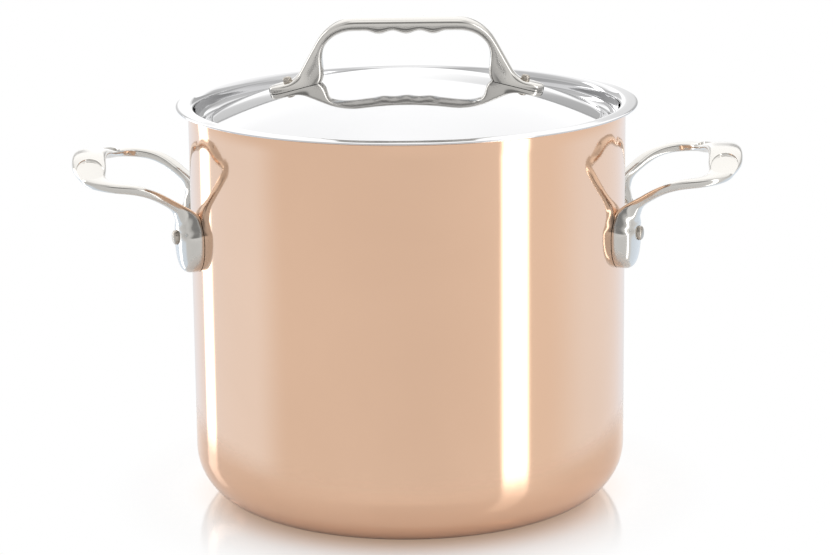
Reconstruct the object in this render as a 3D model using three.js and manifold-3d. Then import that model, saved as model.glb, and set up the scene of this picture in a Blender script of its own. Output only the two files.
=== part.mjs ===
// A tall copper stockpot with a recessed steel lid, two cast side handles and a cast lid handle.
// Millimetres, +Z up. The origin is the middle of the base, on the surface that the pot stands on.
// The side handles and the lid handle lie along X.

import * as THREE from 'three';
import { mergeVertices } from 'three/addons/utils/BufferGeometryUtils.js';
import Module from 'manifold-3d';

const degrees = THREE.MathUtils.degToRad;

// Pot: two sheets bonded over each other, copper outside and steel inside, with a plain upper edge.
const POT_BORE = 240;
const POT_HEIGHT = 222.9;
const COPPER_THICKNESS = 1.4;
const LINING_THICKNESS = 0.5;
const BOND_GAP = 0.1;
const BASE_CORNER_RADIUS = 29.2;

// Lid: one steel pressing with a flange that overhangs the wall, a gutter inside it and a shallow dome.
const LID_THICKNESS = 0.9;
const LID_SIDE_CLEARANCE = 0.8;
const LID_SEAT_GAP = 0.3;
const LID_OVERHANG = 6.9;
const LID_BEND_RADIUS = 4;
const LID_FLANGE_FALL = degrees(5);
const GUTTER_DEPTH = 9.1;
const GUTTER_RADIUS = 4.5;
const SHOULDER_RADIUS = 3;
const SHOULDER_SLOPE = degrees(65);
const SHOULDER_RISE = 4.6;
const DOME_EDGE_SLOPE = degrees(22.4);

// Side handles: cast loops, each standing on two feet at a set drop below the wall's upper edge.
const FOOT_ANGLE = degrees(17);
const FOOT_DROP = 86;
const FOOT_STRAIGHT = 21.6;
const FOOT_ROUNDING = 16.5;
const FOOT_WIDTH = 31;
const FOOT_THICKNESS = 11.2;
const ARM_ANGLE = degrees(31);
const ARM_WIDTH = 8.6;
const ARM_THICKNESS = 5.2;
const ARM_BEND_RADIUS = 15;
const ARM_SLOPE = degrees(31);
const ARM_FILLET = 4.5;
const ARM_LEVEL_RADIUS = 45;
const ARM_LEVEL_SLOPE = degrees(6);
const ARM_LEVEL_ANGLE = degrees(7);
const HANDLE_CORNER_RADIUS = 17;
const HANDLE_REACH = 56;
const GRIP_BOW = degrees(18);
const GRIP_ARCH_SLOPE = degrees(14);
const GRIP_WIDTH = 19;
const GRIP_THICKNESS = 6;

// Each half of a side grip has a shallow thumb dish in its top.
const DISH_OFFSET = 33;
const DISH_LENGTH = 34;
const DISH_WIDTH = 16.7;
const DISH_DEPTH = 1.5;

// Lid handle: a cast arch with finger waves under its grip.
const LID_RIVET_PITCH = 130.6;
const LID_GRIP_HEIGHT = 28.6;
const LID_GRIP_THICKNESS = 7.6;
const LID_GRIP_WIDTH = 17;
const LID_WAVE_PITCH = 15;
const LID_WAVE_COUNT = 3;
const LID_WAVE_DEPTH = 1.9;
const LID_CORNER_RADIUS = 22;
const LID_LEG_SLOPE = degrees(61);
const LID_LEG_WIDTH = 12;
const LID_LEG_THICKNESS = 5.4;
const LID_GUSSET = 11.5;
const LID_FOOT_BEND_RADIUS = 15;
const LID_FOOT_THICKNESS = 4;
const LID_FOOT_WIDTH = 17;
const LID_FOOT_END = 11.5;

// Rivets: a shank through everything that it holds, with a head on each side.
const RIVET_RISE = 19.7;
const RIVET_HEAD = { diameter: 7.9, height: 3.3 };
const RIVET_SHANK_DIAMETER = 5;
const RIVET_TAIL = { diameter: 9, height: 1.3 };
const LID_RIVET_HEAD = { diameter: 5, height: 3 };
const LID_RIVET_SHANK_DIAMETER = 3.6;
const LID_RIVET_TAIL = { diameter: 7, height: 1.1 };
const RIVET_CLEARANCE = 0.3;
const RIVET_SEAT_DEPTH = 1.2;
const LID_RIVET_SEAT_DEPTH = 0.1;

// Pieces cut to each other's shape keep this gap.
const FIT_GAP = 0.3;

// How finely round shapes are cut into flats.
const ROUND_SIDES = 48;
const RIVET_SIDES = 14;
const SECTION_SIDES = 12;
const SECTION_POWER = 2.9;

const WALL_THICKNESS = LINING_THICKNESS + BOND_GAP + COPPER_THICKNESS;
const BORE_RADIUS = POT_BORE / 2;
const OUTER_RADIUS = BORE_RADIUS + WALL_THICKNESS;
const FOOT_BOTTOM = POT_HEIGHT - FOOT_DROP;
const RIVET_HEIGHT = FOOT_BOTTOM + RIVET_RISE;

const wasm = await Module();
wasm.setup();

/** Turns a closed geometry into a solid that can be cut. */
function solidOf(geometry) {
  const bare = geometry.clone();
  bare.deleteAttribute('normal');
  bare.deleteAttribute('uv');
  const merged = mergeVertices(bare, 1e-4);
  const corners = Array.from(merged.index.array);
  const faces = [];
  for (let i = 0; i < corners.length; i += 3) {
    const [a, b, c] = corners.slice(i, i + 3);
    if (a !== b && b !== c && c !== a) {
      faces.push(a, b, c);
    }
  }
  return new wasm.Manifold(new wasm.Mesh({
    numProp: 3,
    vertProperties: new Float32Array(merged.attributes.position.array),
    triVerts: new Uint32Array(faces),
  }));
}

/** Turns a solid back into a geometry with flat-shaded normals. */
function geometryOf(solid) {
  const mesh = solid.getMesh();
  const geometry = new THREE.BufferGeometry();
  geometry.setAttribute('position', new THREE.BufferAttribute(Float32Array.from(mesh.vertProperties), 3));
  geometry.setIndex(Array.from(mesh.triVerts));
  geometry.computeVertexNormals();
  return geometry;
}

/** Revolves a closed section of [radius, height] points about Z. */
function revolve(section, sides = ROUND_SIDES) {
  const profile = section.map(([r, z]) => new THREE.Vector2(r, z));
  return new THREE.LatheGeometry(profile, sides).rotateX(Math.PI / 2);
}

/**
 * Walks along a sheet's section from the axis outward. Each move is a straight length or an arc, with
 * a left turn positive, and each point keeps the direction that leads through the sheet.
 */
function walkSheet(height, moves) {
  let r = 0;
  let z = height;
  let heading = 0;
  const points = [];
  const mark = () => points.push({ r, z, through: [Math.sin(heading), -Math.cos(heading)] });
  mark();
  for (const { length = 0, radius = 0, turn = 0, steps = 1 } of moves) {
    const side = Math.sign(turn);
    const centre = [r - side * radius * Math.sin(heading), z + side * radius * Math.cos(heading)];
    for (let i = 0; i < steps; i += 1) {
      heading += turn / steps;
      if (turn === 0) {
        r += length * Math.cos(heading);
        z += length * Math.sin(heading);
      } else {
        r = centre[0] + side * radius * Math.sin(heading);
        z = centre[1] - side * radius * Math.cos(heading);
      }
      mark();
    }
  }
  return points;
}

/** The walked points, moved through the sheet by a depth. */
function atDepth(walk, depth) {
  return walk.map(({ r, z, through }) => [Math.max(0, r + depth * through[0]), z + depth * through[1]]);
}

/** The closed section of a sheet between two depths. */
function sheetSection(walk, from, to) {
  return [...atDepth(walk, to), ...atDepth(walk, from).reverse()];
}

/**
 * Walks along the middle line of a cast bar. Each leg has a length, a turn of its plan heading, a change
 * of its climb and the bar's size at its end. The size eases from one leg's end to the next.
 */
function walkBar(start, heading, climb, size, legs) {
  const at = start.clone();
  let from = size;
  const stations = [{ at: at.clone(), heading, climb, ...size }];
  for (const { length, turn = 0, rise = 0, steps = 1, to = from } of legs) {
    for (let i = 1; i <= steps; i += 1) {
      const middle = [heading + turn * (i - 0.5) / steps, climb + rise * (i - 0.5) / steps];
      at.addScaledVector(alongBar(...middle), length / steps);
      const share = THREE.MathUtils.smoothstep(i / steps, 0, 1);
      const now = {};
      for (const key of ['width', 'top', 'under']) {
        now[key] = THREE.MathUtils.lerp(from[key], to[key], share);
      }
      const [turned, risen] = [heading + turn * i / steps, climb + rise * i / steps];
      stations.push({ at: at.clone(), heading: turned, climb: risen, ...now });
    }
    heading += turn;
    climb += rise;
    from = to;
  }
  return stations;
}

/** The direction of a bar with a plan heading and a climb. */
function alongBar(heading, climb) {
  const flat = Math.cos(climb);
  return new THREE.Vector3(flat * Math.cos(heading), flat * Math.sin(heading), Math.sin(climb));
}

/** The outline of a bar at one station: a rounded box, with its own depth above and below the line. */
function barRing({ at, heading, climb, width, top, under }) {
  const across = new THREE.Vector3(-Math.sin(heading), Math.cos(heading), 0);
  const upward = alongBar(heading, climb).cross(across);
  const soften = (value) => Math.sign(value) * Math.abs(value) ** (2 / SECTION_POWER);
  const ring = [];
  for (let i = 0; i < SECTION_SIDES; i += 1) {
    const angle = 2 * Math.PI * i / SECTION_SIDES;
    const side = soften(Math.cos(angle)) * width / 2;
    const lift = soften(Math.sin(angle));
    const depth = lift > 0 ? top : under;
    ring.push(at.clone().addScaledVector(across, side).addScaledVector(upward, lift * depth));
  }
  return ring;
}

/** Closes rings into one skin, with a point at each end. */
function skin(rings, firstPoint, lastPoint) {
  const positions = [...rings.flat(), firstPoint, lastPoint].flatMap((point) => point.toArray());
  const first = rings.length * SECTION_SIDES;
  const last = first + 1;
  const faces = [];
  for (let i = 0; i < SECTION_SIDES; i += 1) {
    const next = (i + 1) % SECTION_SIDES;
    const end = (rings.length - 1) * SECTION_SIDES;
    faces.push(first, next, i, last, end + i, end + next);
    for (let k = 0; k + 1 < rings.length; k += 1) {
      const here = k * SECTION_SIDES;
      const ahead = here + SECTION_SIDES;
      faces.push(here + i, here + next, ahead + next, here + i, ahead + next, ahead + i);
    }
  }
  const geometry = new THREE.BufferGeometry();
  geometry.setAttribute('position', new THREE.Float32BufferAttribute(positions, 3));
  geometry.setIndex(faces);
  return geometry;
}

/** The skin of a bar that is one half and its mirror image, which meet at the last station. */
function mirroredBar(half, endPoint, mirror) {
  const rings = half.map(barRing);
  const flip = (ring) => ring.map((point) => point.clone().multiply(mirror));
  const mirrored = rings.slice(0, -1).reverse().map(flip);
  return skin([...rings, ...mirrored], endPoint, endPoint.clone().multiply(mirror));
}

/** The places where a rounded end widens from its point to its full width, each with its share of it. */
function roundedEnd(steps) {
  const places = [];
  for (let i = 1; i <= steps; i += 1) {
    const angle = Math.PI / 2 * i / steps;
    places.push({ along: 1 - Math.cos(angle), share: Math.sin(angle) });
  }
  return places;
}

/** A rivet about Z with the seat of its head at zero and its grip below. */
function rivetGeometry(head, shankDiameter, tail, grip) {
  const headRadius = head.diameter / 2;
  const shankRadius = shankDiameter / 2;
  const tailRadius = tail.diameter / 2;
  return revolve([
    [0, -grip - tail.height],
    [tailRadius * 0.7, -grip - tail.height],
    [tailRadius, -grip - tail.height * 0.4],
    [tailRadius, -grip],
    [shankRadius, -grip],
    [shankRadius, 0],
    [headRadius, 0],
    [headRadius, head.height * 0.45],
    [headRadius * 0.82, head.height * 0.85],
    [headRadius * 0.45, head.height],
    [0, head.height],
  ], RIVET_SIDES);
}

/** A cutting cylinder about Z between two heights. */
function drill(radius, low, high) {
  return revolve([[0, low], [radius, low], [radius, high], [0, high]], RIVET_SIDES);
}

const copper = new THREE.MeshStandardMaterial({ color: 0xd9a583, roughness: 0.12, metalness: 1 });
const liningSteel = new THREE.MeshStandardMaterial({ color: 0xd4d4d2, roughness: 0.2, metalness: 1 });
const lidSteel = new THREE.MeshStandardMaterial({ color: 0xe2e2e3, roughness: 0.08, metalness: 1 });
const castSteel = new THREE.MeshStandardMaterial({ color: 0xd0cfcc, roughness: 0.14, metalness: 1 });
const rivetSteel = new THREE.MeshStandardMaterial({ color: 0xb9ad9c, roughness: 0.4, metalness: 1 });

function named(name, geometry, material) {
  const mesh = new THREE.Mesh(geometry, material);
  mesh.name = name;
  return mesh;
}

// The frame of a rivet in a side handle's foot: Z leads outward along the rivet.
function footFrame(angle, radius) {
  const plan = [radius * Math.cos(angle), radius * Math.sin(angle)];
  const place = new THREE.Matrix4().makeTranslation(...plan, RIVET_HEIGHT);
  return place.multiply(new THREE.Matrix4().makeRotationZ(angle)).multiply(
    new THREE.Matrix4().makeRotationY(Math.PI / 2),
  );
}

const FOOT_PLACES = {
  right_back: FOOT_ANGLE,
  right_front: -FOOT_ANGLE,
  left_back: Math.PI - FOOT_ANGLE,
  left_front: Math.PI + FOOT_ANGLE,
};

// Pot wall: the walk follows the inner face from the middle of the base to the upper edge.
const potWalk = walkSheet(WALL_THICKNESS, [
  { length: OUTER_RADIUS - BASE_CORNER_RADIUS },
  { radius: BASE_CORNER_RADIUS - WALL_THICKNESS, turn: Math.PI / 2, steps: 6 },
  { length: POT_HEIGHT - BASE_CORNER_RADIUS },
]);

const RIVET_HOLE_RADIUS = RIVET_SHANK_DIAMETER / 2 + RIVET_CLEARANCE;
const RIVET_TAIL_SEAT = BORE_RADIUS * Math.cos(Math.PI / ROUND_SIDES) - FIT_GAP;
const FOOT_FACE = OUTER_RADIUS + FOOT_THICKNESS;
const RIVET_SEAT = FOOT_FACE - RIVET_SEAT_DEPTH;

/** One sheet of the pot's wall, with the holes of the side rivets. */
function potSheet(from, to) {
  let sheet = solidOf(revolve(sheetSection(potWalk, from, to)));
  for (const angle of Object.values(FOOT_PLACES)) {
    const hole = drill(RIVET_HOLE_RADIUS, -BASE_CORNER_RADIUS, BASE_CORNER_RADIUS);
    sheet = sheet.subtract(solidOf(hole.applyMatrix4(footFrame(angle, OUTER_RADIUS))));
  }
  return geometryOf(sheet);
}

// Side handle: from the foot's lower end up the wall, out along the arm and round to the grip's middle.
function sideHandleStations() {
  const full = { width: FOOT_WIDTH, top: FOOT_THICKNESS / 2, under: FOOT_THICKNESS };
  const bend = Math.PI / 2 - ARM_SLOPE;
  // The foot's outer face stays upright while the bar bends away from the wall.
  const faceDepth = (climb) => (FOOT_THICKNESS - ARM_BEND_RADIUS * (1 - Math.sin(climb))) / Math.sin(climb);
  const neck = {
    width: (FOOT_WIDTH * 2 + ARM_WIDTH) / 3, top: FOOT_THICKNESS / 3, under: faceDepth(Math.PI / 2 - bend / 2),
  };
  const root = { width: (FOOT_WIDTH + ARM_WIDTH * 7) / 8, top: ARM_THICKNESS / 2, under: faceDepth(ARM_SLOPE) };
  const arm = { width: ARM_WIDTH, top: ARM_THICKNESS / 2, under: ARM_THICKNESS / 2 };
  const corner = { width: (ARM_WIDTH + GRIP_WIDTH) / 2, top: ARM_THICKNESS / 2, under: ARM_THICKNESS / 2 };
  const grip = { width: GRIP_WIDTH, top: GRIP_THICKNESS / 2, under: GRIP_THICKNESS / 2 };
  const foot = alongBar(FOOT_ANGLE, 0).multiplyScalar(OUTER_RADIUS).setZ(FOOT_BOTTOM);
  const tip = roundedEnd(5).map(({ along, share }) => ({
    at: foot.clone().add(new THREE.Vector3(0, 0, along * FOOT_ROUNDING)),
    heading: FOOT_ANGLE,
    climb: Math.PI / 2,
    width: full.width * share,
    top: full.top,
    under: full.under * Math.cbrt(share),
  }));
  const levelling = ARM_SLOPE - ARM_LEVEL_SLOPE;
  const splaying = ARM_ANGLE - FOOT_ANGLE;
  const turning = Math.PI / 2 + ARM_LEVEL_ANGLE - GRIP_BOW;
  const arching = GRIP_ARCH_SLOPE - ARM_LEVEL_SLOPE;
  const route = (armLength, bowLength) => walkBar(tip[tip.length - 1].at, FOOT_ANGLE, Math.PI / 2, full, [
    { length: FOOT_STRAIGHT - FOOT_ROUNDING, steps: 1 },
    { length: ARM_BEND_RADIUS * bend / 2, turn: splaying / 2, rise: -bend / 2, steps: 4, to: neck },
    { length: ARM_BEND_RADIUS * bend / 2, turn: splaying / 2, rise: -bend / 2, steps: 4, to: root },
    { length: ARM_FILLET, steps: 2, to: arm },
    { length: armLength, steps: 1 },
    { length: ARM_LEVEL_RADIUS * levelling, turn: ARM_LEVEL_ANGLE - ARM_ANGLE, rise: -levelling, steps: 3 },
    { length: HANDLE_CORNER_RADIUS * turning, turn: -turning, steps: 7, to: corner },
    { length: bowLength / 2, turn: -GRIP_BOW / 2, rise: arching, steps: 3, to: grip },
    { length: bowLength / 2, turn: -GRIP_BOW / 2, rise: -GRIP_ARCH_SLOPE, steps: 3 },
  ]);
  const endOf = (stations) => stations[stations.length - 1].at;
  const bare = endOf(route(0, 0));
  const perArm = endOf(route(1, 0)).sub(bare);
  const perBow = endOf(route(0, 1)).sub(bare);
  const missing = OUTER_RADIUS + HANDLE_REACH - bare.x;
  const armLength = (missing * perBow.y + bare.y * perBow.x) / (perArm.x * perBow.y - perArm.y * perBow.x);
  const bowLength = -(bare.y + armLength * perArm.y) / perBow.y;
  return { foot, stations: [...tip, ...route(armLength, bowLength).slice(1)] };
}

/** The cutter of the thumb dish on the back half of the right grip, a long ellipsoid sunk in its top. */
function thumbDish(stations) {
  const ahead = stations.findLastIndex(({ at }) => at.y >= DISH_OFFSET);
  const [from, to] = [stations[ahead], stations[ahead + 1]];
  const share = (from.at.y - DISH_OFFSET) / (from.at.y - to.at.y);
  const mix = (key) => THREE.MathUtils.lerp(from[key], to[key], share);
  const forward = alongBar(mix('heading'), mix('climb'));
  const across = new THREE.Vector3(-Math.sin(mix('heading')), Math.cos(mix('heading')), 0);
  const upward = forward.clone().cross(across);
  // The dish is the lowest third of the ellipsoid, and the grip's own roundness lengthens the cut edge.
  const sunk = Math.sqrt(1 - (2 / 3) ** 2);
  const half = [DISH_LENGTH * 2 * sunk, DISH_WIDTH * sunk, DISH_DEPTH * 3];
  const centre = from.at.clone().lerp(to.at, share).addScaledVector(upward, mix('top') + DISH_DEPTH * 2);
  const ball = new THREE.SphereGeometry(1, 24, 32).scale(...half);
  return ball.applyMatrix4(new THREE.Matrix4().makeBasis(forward, across, upward).setPosition(centre));
}

/** The right side handle, fitted to the pot's wall, dished for the thumbs and bored for its rivets. */
function sideHandleGeometry() {
  const { foot, stations } = sideHandleStations();
  const casting = mirroredBar(stations, foot, new THREE.Vector3(1, -1, 1));
  const wall = OUTER_RADIUS + FIT_GAP;
  const wallBlock = revolve([[0, 0], [wall, 0], [wall, POT_HEIGHT], [0, POT_HEIGHT]]);
  let handle = solidOf(casting).subtract(solidOf(wallBlock));
  const dish = solidOf(thumbDish(stations));
  handle = handle.subtract(dish).subtract(dish.mirror([0, 1, 0]));
  const seatRadius = RIVET_HEAD.diameter / 2 + RIVET_CLEARANCE;
  for (const angle of [FOOT_ANGLE, -FOOT_ANGLE]) {
    const frame = footFrame(angle, RIVET_SEAT);
    const hole = drill(RIVET_HOLE_RADIUS, -2 * FOOT_THICKNESS, FOOT_THICKNESS);
    const seat = drill(seatRadius, -FIT_GAP, FOOT_THICKNESS);
    handle = handle.subtract(solidOf(hole.applyMatrix4(frame))).subtract(solidOf(seat.applyMatrix4(frame)));
  }
  return geometryOf(handle);
}

const pot = new THREE.Group();
pot.add(named('copper_shell', potSheet(LINING_THICKNESS + BOND_GAP, WALL_THICKNESS), copper));
pot.add(named('steel_lining', potSheet(0, LINING_THICKNESS), liningSteel));

const handleGeometry = sideHandleGeometry();
const rightHandle = named('side_handle_right', handleGeometry, castSteel);
const leftHandle = named('side_handle_left', handleGeometry, castSteel);
leftHandle.rotation.z = Math.PI;
pot.add(rightHandle, leftHandle);

const sideRivet = rivetGeometry(RIVET_HEAD, RIVET_SHANK_DIAMETER, RIVET_TAIL, RIVET_SEAT - RIVET_TAIL_SEAT);
for (const [place, angle] of Object.entries(FOOT_PLACES)) {
  const rivet = named(`side_rivet_${place}`, sideRivet, rivetSteel);
  rivet.applyMatrix4(footFrame(angle, RIVET_SEAT));
  pot.add(rivet);
}

// Lid: the bend under its flange sits on the wall's inner edge, so the bend's middle follows from the seat gap.
const plugRadius = BORE_RADIUS - LID_SIDE_CLEARANCE - LID_THICKNESS;
const bendMiddle = plugRadius + LID_BEND_RADIUS;
const bendBase = POT_HEIGHT - Math.sqrt(
  (LID_BEND_RADIUS - LID_THICKNESS - LID_SEAT_GAP) ** 2 - (bendMiddle - BORE_RADIUS) ** 2,
);
const flangeStart = bendMiddle + LID_BEND_RADIUS * Math.sin(LID_FLANGE_FALL);
const flangeLength = (OUTER_RADIUS + LID_OVERHANG - flangeStart) / Math.cos(LID_FLANGE_FALL);
const gutterFloor = POT_HEIGHT - GUTTER_DEPTH;
const shoulderDrop = SHOULDER_RADIUS * (Math.cos(DOME_EDGE_SLOPE) - Math.cos(SHOULDER_SLOPE));
const gutterDrop = GUTTER_RADIUS * (1 - Math.cos(SHOULDER_SLOPE));
const slopeLength = (SHOULDER_RISE - shoulderDrop - gutterDrop) / Math.sin(SHOULDER_SLOPE);
const domeEdge = plugRadius - GUTTER_RADIUS * (1 + Math.sin(SHOULDER_SLOPE))
  - slopeLength * Math.cos(SHOULDER_SLOPE)
  - SHOULDER_RADIUS * (Math.sin(SHOULDER_SLOPE) - Math.sin(DOME_EDGE_SLOPE));
const domeRadius = domeEdge / Math.sin(DOME_EDGE_SLOPE);
const domeTop = gutterFloor + SHOULDER_RISE + domeEdge * Math.tan(DOME_EDGE_SLOPE / 2);
const domeArc = { radius: domeRadius, turn: -DOME_EDGE_SLOPE, steps: 7 };

// The walk follows the upper face from the top of the dome to the edge of the flange.
const lidWalk = walkSheet(domeTop, [
  domeArc,
  { radius: SHOULDER_RADIUS, turn: DOME_EDGE_SLOPE - SHOULDER_SLOPE, steps: 2 },
  { length: slopeLength },
  { radius: GUTTER_RADIUS, turn: SHOULDER_SLOPE + Math.PI / 2, steps: 6 },
  { length: bendBase - gutterFloor - GUTTER_RADIUS },
  { radius: LID_BEND_RADIUS, turn: -Math.PI / 2 - LID_FLANGE_FALL, steps: 4 },
  { length: flangeLength },
]);

// Lid handle: its feet lie on the dome and slope with it.
const LID_RIVET_RADIUS = LID_RIVET_PITCH / 2;
const footSlope = Math.asin(LID_RIVET_RADIUS / domeRadius);
const LID_RIVET_SEAT = FIT_GAP + LID_FOOT_THICKNESS - LID_RIVET_SEAT_DEPTH;

/** The frame on the dome at a lid rivet: Z leads out of the dome, and the rivet stands a height above it. */
function domeFrame(side, height) {
  const centre = new THREE.Matrix4().makeTranslation(0, 0, domeTop - domeRadius);
  const tilt = new THREE.Matrix4().makeRotationY(side * footSlope);
  return centre.multiply(tilt).multiply(new THREE.Matrix4().makeTranslation(0, 0, domeRadius + height));
}

// The handle's stations run from the foot's end up the leg to the middle of the grip.
function lidHandleStations() {
  const footLine = FIT_GAP + LID_FOOT_THICKNESS / 2;
  const foot = { width: LID_FOOT_WIDTH, top: LID_FOOT_THICKNESS / 2, under: LID_GUSSET };
  const legFoot = { width: LID_LEG_WIDTH, top: LID_LEG_THICKNESS / 2, under: LID_GUSSET };
  const leg = { width: LID_LEG_WIDTH, top: LID_LEG_THICKNESS / 2, under: LID_LEG_THICKNESS / 2 };
  const grip = { width: LID_GRIP_WIDTH, top: LID_GRIP_THICKNESS / 2, under: LID_GRIP_THICKNESS / 2 };
  const rivet = new THREE.Vector3().applyMatrix4(domeFrame(1, footLine));
  const outward = alongBar(0, -footSlope);
  const footEnd = rivet.clone().addScaledVector(outward, LID_FOOT_END);
  const tip = roundedEnd(5).map(({ along, share }) => ({
    at: footEnd.clone().addScaledVector(outward, -along * LID_FOOT_WIDTH / 2),
    heading: Math.PI,
    climb: footSlope,
    width: foot.width * share,
    top: foot.top,
    under: foot.under,
  }));
  const bend = LID_LEG_SLOPE - footSlope;
  const route = (flatLength, legLength) => walkBar(tip[tip.length - 1].at, Math.PI, footSlope, foot, [
    { length: flatLength, steps: 2 },
    { length: LID_FOOT_BEND_RADIUS * bend, rise: bend, steps: 4, to: legFoot },
    { length: legLength, steps: 4, to: leg },
    { length: LID_CORNER_RADIUS * LID_LEG_SLOPE, rise: -LID_LEG_SLOPE, steps: 5, to: grip },
  ]);
  const flat = LID_RIVET_HEAD.diameter / 2;
  const bare = route(flat, 0);
  const missing = domeTop + LID_GRIP_HEIGHT - bare[bare.length - 1].at.z;
  const stations = route(flat, missing / Math.sin(LID_LEG_SLOPE));
  const end = stations[stations.length - 1];
  const waveEnd = LID_WAVE_PITCH * LID_WAVE_COUNT / 2;
  const waveSteps = 6 * LID_WAVE_COUNT / 2;
  const waves = [];
  for (let i = 0; i <= waveSteps; i += 1) {
    const x = waveEnd * (1 - i / waveSteps);
    const wave = LID_WAVE_DEPTH * (1 + Math.cos(2 * Math.PI * x / LID_WAVE_PITCH)) / 2;
    waves.push({ ...end, at: new THREE.Vector3(x, 0, end.at.z), under: end.under + wave });
  }
  return { footEnd, stations: [...tip, ...stations.slice(1), ...waves] };
}

const LID_HOLE_RADIUS = LID_RIVET_SHANK_DIAMETER / 2 + RIVET_CLEARANCE;

/** Bores the holes of both lid rivets through a solid. */
function boreLidHoles(solid) {
  let bored = solid;
  for (const side of [1, -1]) {
    const hole = drill(LID_HOLE_RADIUS, -LID_GUSSET, LID_GUSSET + LID_FOOT_THICKNESS);
    bored = bored.subtract(solidOf(hole.applyMatrix4(domeFrame(side, 0))));
  }
  return bored;
}

/** The lid handle, fitted to the dome and bored for its rivets. */
function lidHandleGeometry() {
  const { footEnd, stations } = lidHandleStations();
  const casting = mirroredBar(stations, footEnd, new THREE.Vector3(-1, 1, 1));
  const dome = atDepth(walkSheet(domeTop, [domeArc]), -FIT_GAP);
  const below = dome[dome.length - 1][1] - LID_GUSSET;
  const block = revolve([[0, below], [dome[dome.length - 1][0], below], ...dome.reverse()]);
  let handle = boreLidHoles(solidOf(casting).subtract(solidOf(block)));
  const seatRadius = LID_RIVET_HEAD.diameter / 2 + RIVET_CLEARANCE;
  for (const side of [1, -1]) {
    const seat = drill(seatRadius, -FIT_GAP, LID_FOOT_THICKNESS);
    handle = handle.subtract(solidOf(seat.applyMatrix4(domeFrame(side, LID_RIVET_SEAT))));
  }
  return geometryOf(handle);
}

const lid = new THREE.Group();
const lidSheet = boreLidHoles(solidOf(revolve(sheetSection(lidWalk, 0, LID_THICKNESS))));
lid.add(named('lid', geometryOf(lidSheet), lidSteel));
lid.add(named('lid_handle', lidHandleGeometry(), castSteel));

const lidRivetGrip = LID_RIVET_SEAT + LID_THICKNESS + FIT_GAP;
const lidRivet = rivetGeometry(LID_RIVET_HEAD, LID_RIVET_SHANK_DIAMETER, LID_RIVET_TAIL, lidRivetGrip);
for (const [place, side] of [['right', 1], ['left', -1]]) {
  const rivet = named(`lid_rivet_${place}`, lidRivet, rivetSteel);
  rivet.applyMatrix4(domeFrame(side, LID_RIVET_SEAT));
  lid.add(rivet);
}

const stockpot = new THREE.Group();
stockpot.add(pot, lid);

export default stockpot;
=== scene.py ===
"""A copper stockpot with a recessed steel lid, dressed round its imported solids.

Sizes are in millimetres where a class holds them, and in metres in the meshes and places.
The origin is the middle of the base.
"""

import logging
import math
from dataclasses import dataclass, field, replace
from enum import Enum
from itertools import pairwise
from typing import Callable, Iterable, Sequence

import bmesh
import bpy
from mathutils import Matrix, Vector


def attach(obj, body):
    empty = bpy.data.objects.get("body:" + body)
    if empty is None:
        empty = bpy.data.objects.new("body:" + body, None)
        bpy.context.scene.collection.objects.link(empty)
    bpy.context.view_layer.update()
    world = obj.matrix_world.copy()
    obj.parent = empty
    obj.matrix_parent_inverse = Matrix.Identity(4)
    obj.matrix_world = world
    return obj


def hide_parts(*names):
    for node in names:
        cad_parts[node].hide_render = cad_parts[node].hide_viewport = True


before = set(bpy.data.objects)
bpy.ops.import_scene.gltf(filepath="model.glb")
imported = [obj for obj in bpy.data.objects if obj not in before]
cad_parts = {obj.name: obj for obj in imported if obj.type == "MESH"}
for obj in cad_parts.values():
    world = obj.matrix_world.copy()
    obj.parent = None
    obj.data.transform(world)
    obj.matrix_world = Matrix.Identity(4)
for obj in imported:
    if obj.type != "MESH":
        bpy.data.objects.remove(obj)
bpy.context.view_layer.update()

MM = 0.001
TURN = 2.0 * math.pi
QUARTER = math.pi / 2.0
START_SIDES = 8
MERGE_GAP = 0.0005
EASE_FACTOR = 0.5
SHEET_CREASE = 32.0
NOISE_LOW, NOISE_HIGH = 0.3, 0.7
log = logging.getLogger("stockpot")

Section = list[tuple[float, float]]
Colour = tuple[float, float, float]
Piece = bpy.types.Object
Socket = bpy.types.NodeSocket

SIDE_LIGHT: Colour = (0.91, 1.01, 1.13)


# Walking along sheets and bars


@dataclass(frozen=True)
class Move:
    """One move along a sheet: a straight length, or an arc whose left turn is positive."""

    length: float = 0.0
    radius: float = 0.0
    turn: float = 0.0
    steps: int = 1


@dataclass(frozen=True)
class SheetPoint:
    """A point on a sheet's section, with the heading of the walk through it."""

    r: float
    z: float
    heading: float

    def through(self, depth: float, ahead: float = 0.0) -> tuple[float, float]:
        """Gives the point that lies a depth through the sheet, and a little ahead along it.

        Args:
            depth: Distance through the sheet, positive to the right of the walk.
            ahead: Distance along the walk.

        Returns:
            Radius and height.
        """
        sine, cosine = math.sin(self.heading), math.cos(self.heading)
        r = self.r + depth * sine + ahead * cosine
        return max(0.0, r), self.z - depth * cosine + ahead * sine


def walk_sheet(height: float, moves: Iterable[Move]) -> list[SheetPoint]:
    """Walks along a sheet's section from the axis outward.

    Args:
        height: Height of the start on the axis.
        moves: The straight lengths and arcs in order.

    Returns:
        The points of the walk.
    """
    r, z, heading = 0.0, height, 0.0
    walk = [SheetPoint(r, z, heading)]
    for move in moves:
        side = math.copysign(1.0, move.turn)
        centre_r = r - side * move.radius * math.sin(heading)
        centre_z = z + side * move.radius * math.cos(heading)
        for _ in range(move.steps):
            if move.turn:
                heading += move.turn / move.steps
                r = centre_r + side * move.radius * math.sin(heading)
                z = centre_z - side * move.radius * math.cos(heading)
            else:
                r += move.length / move.steps * math.cos(heading)
                z += move.length / move.steps * math.sin(heading)
            walk.append(SheetPoint(r, z, heading))
    return walk


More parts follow.
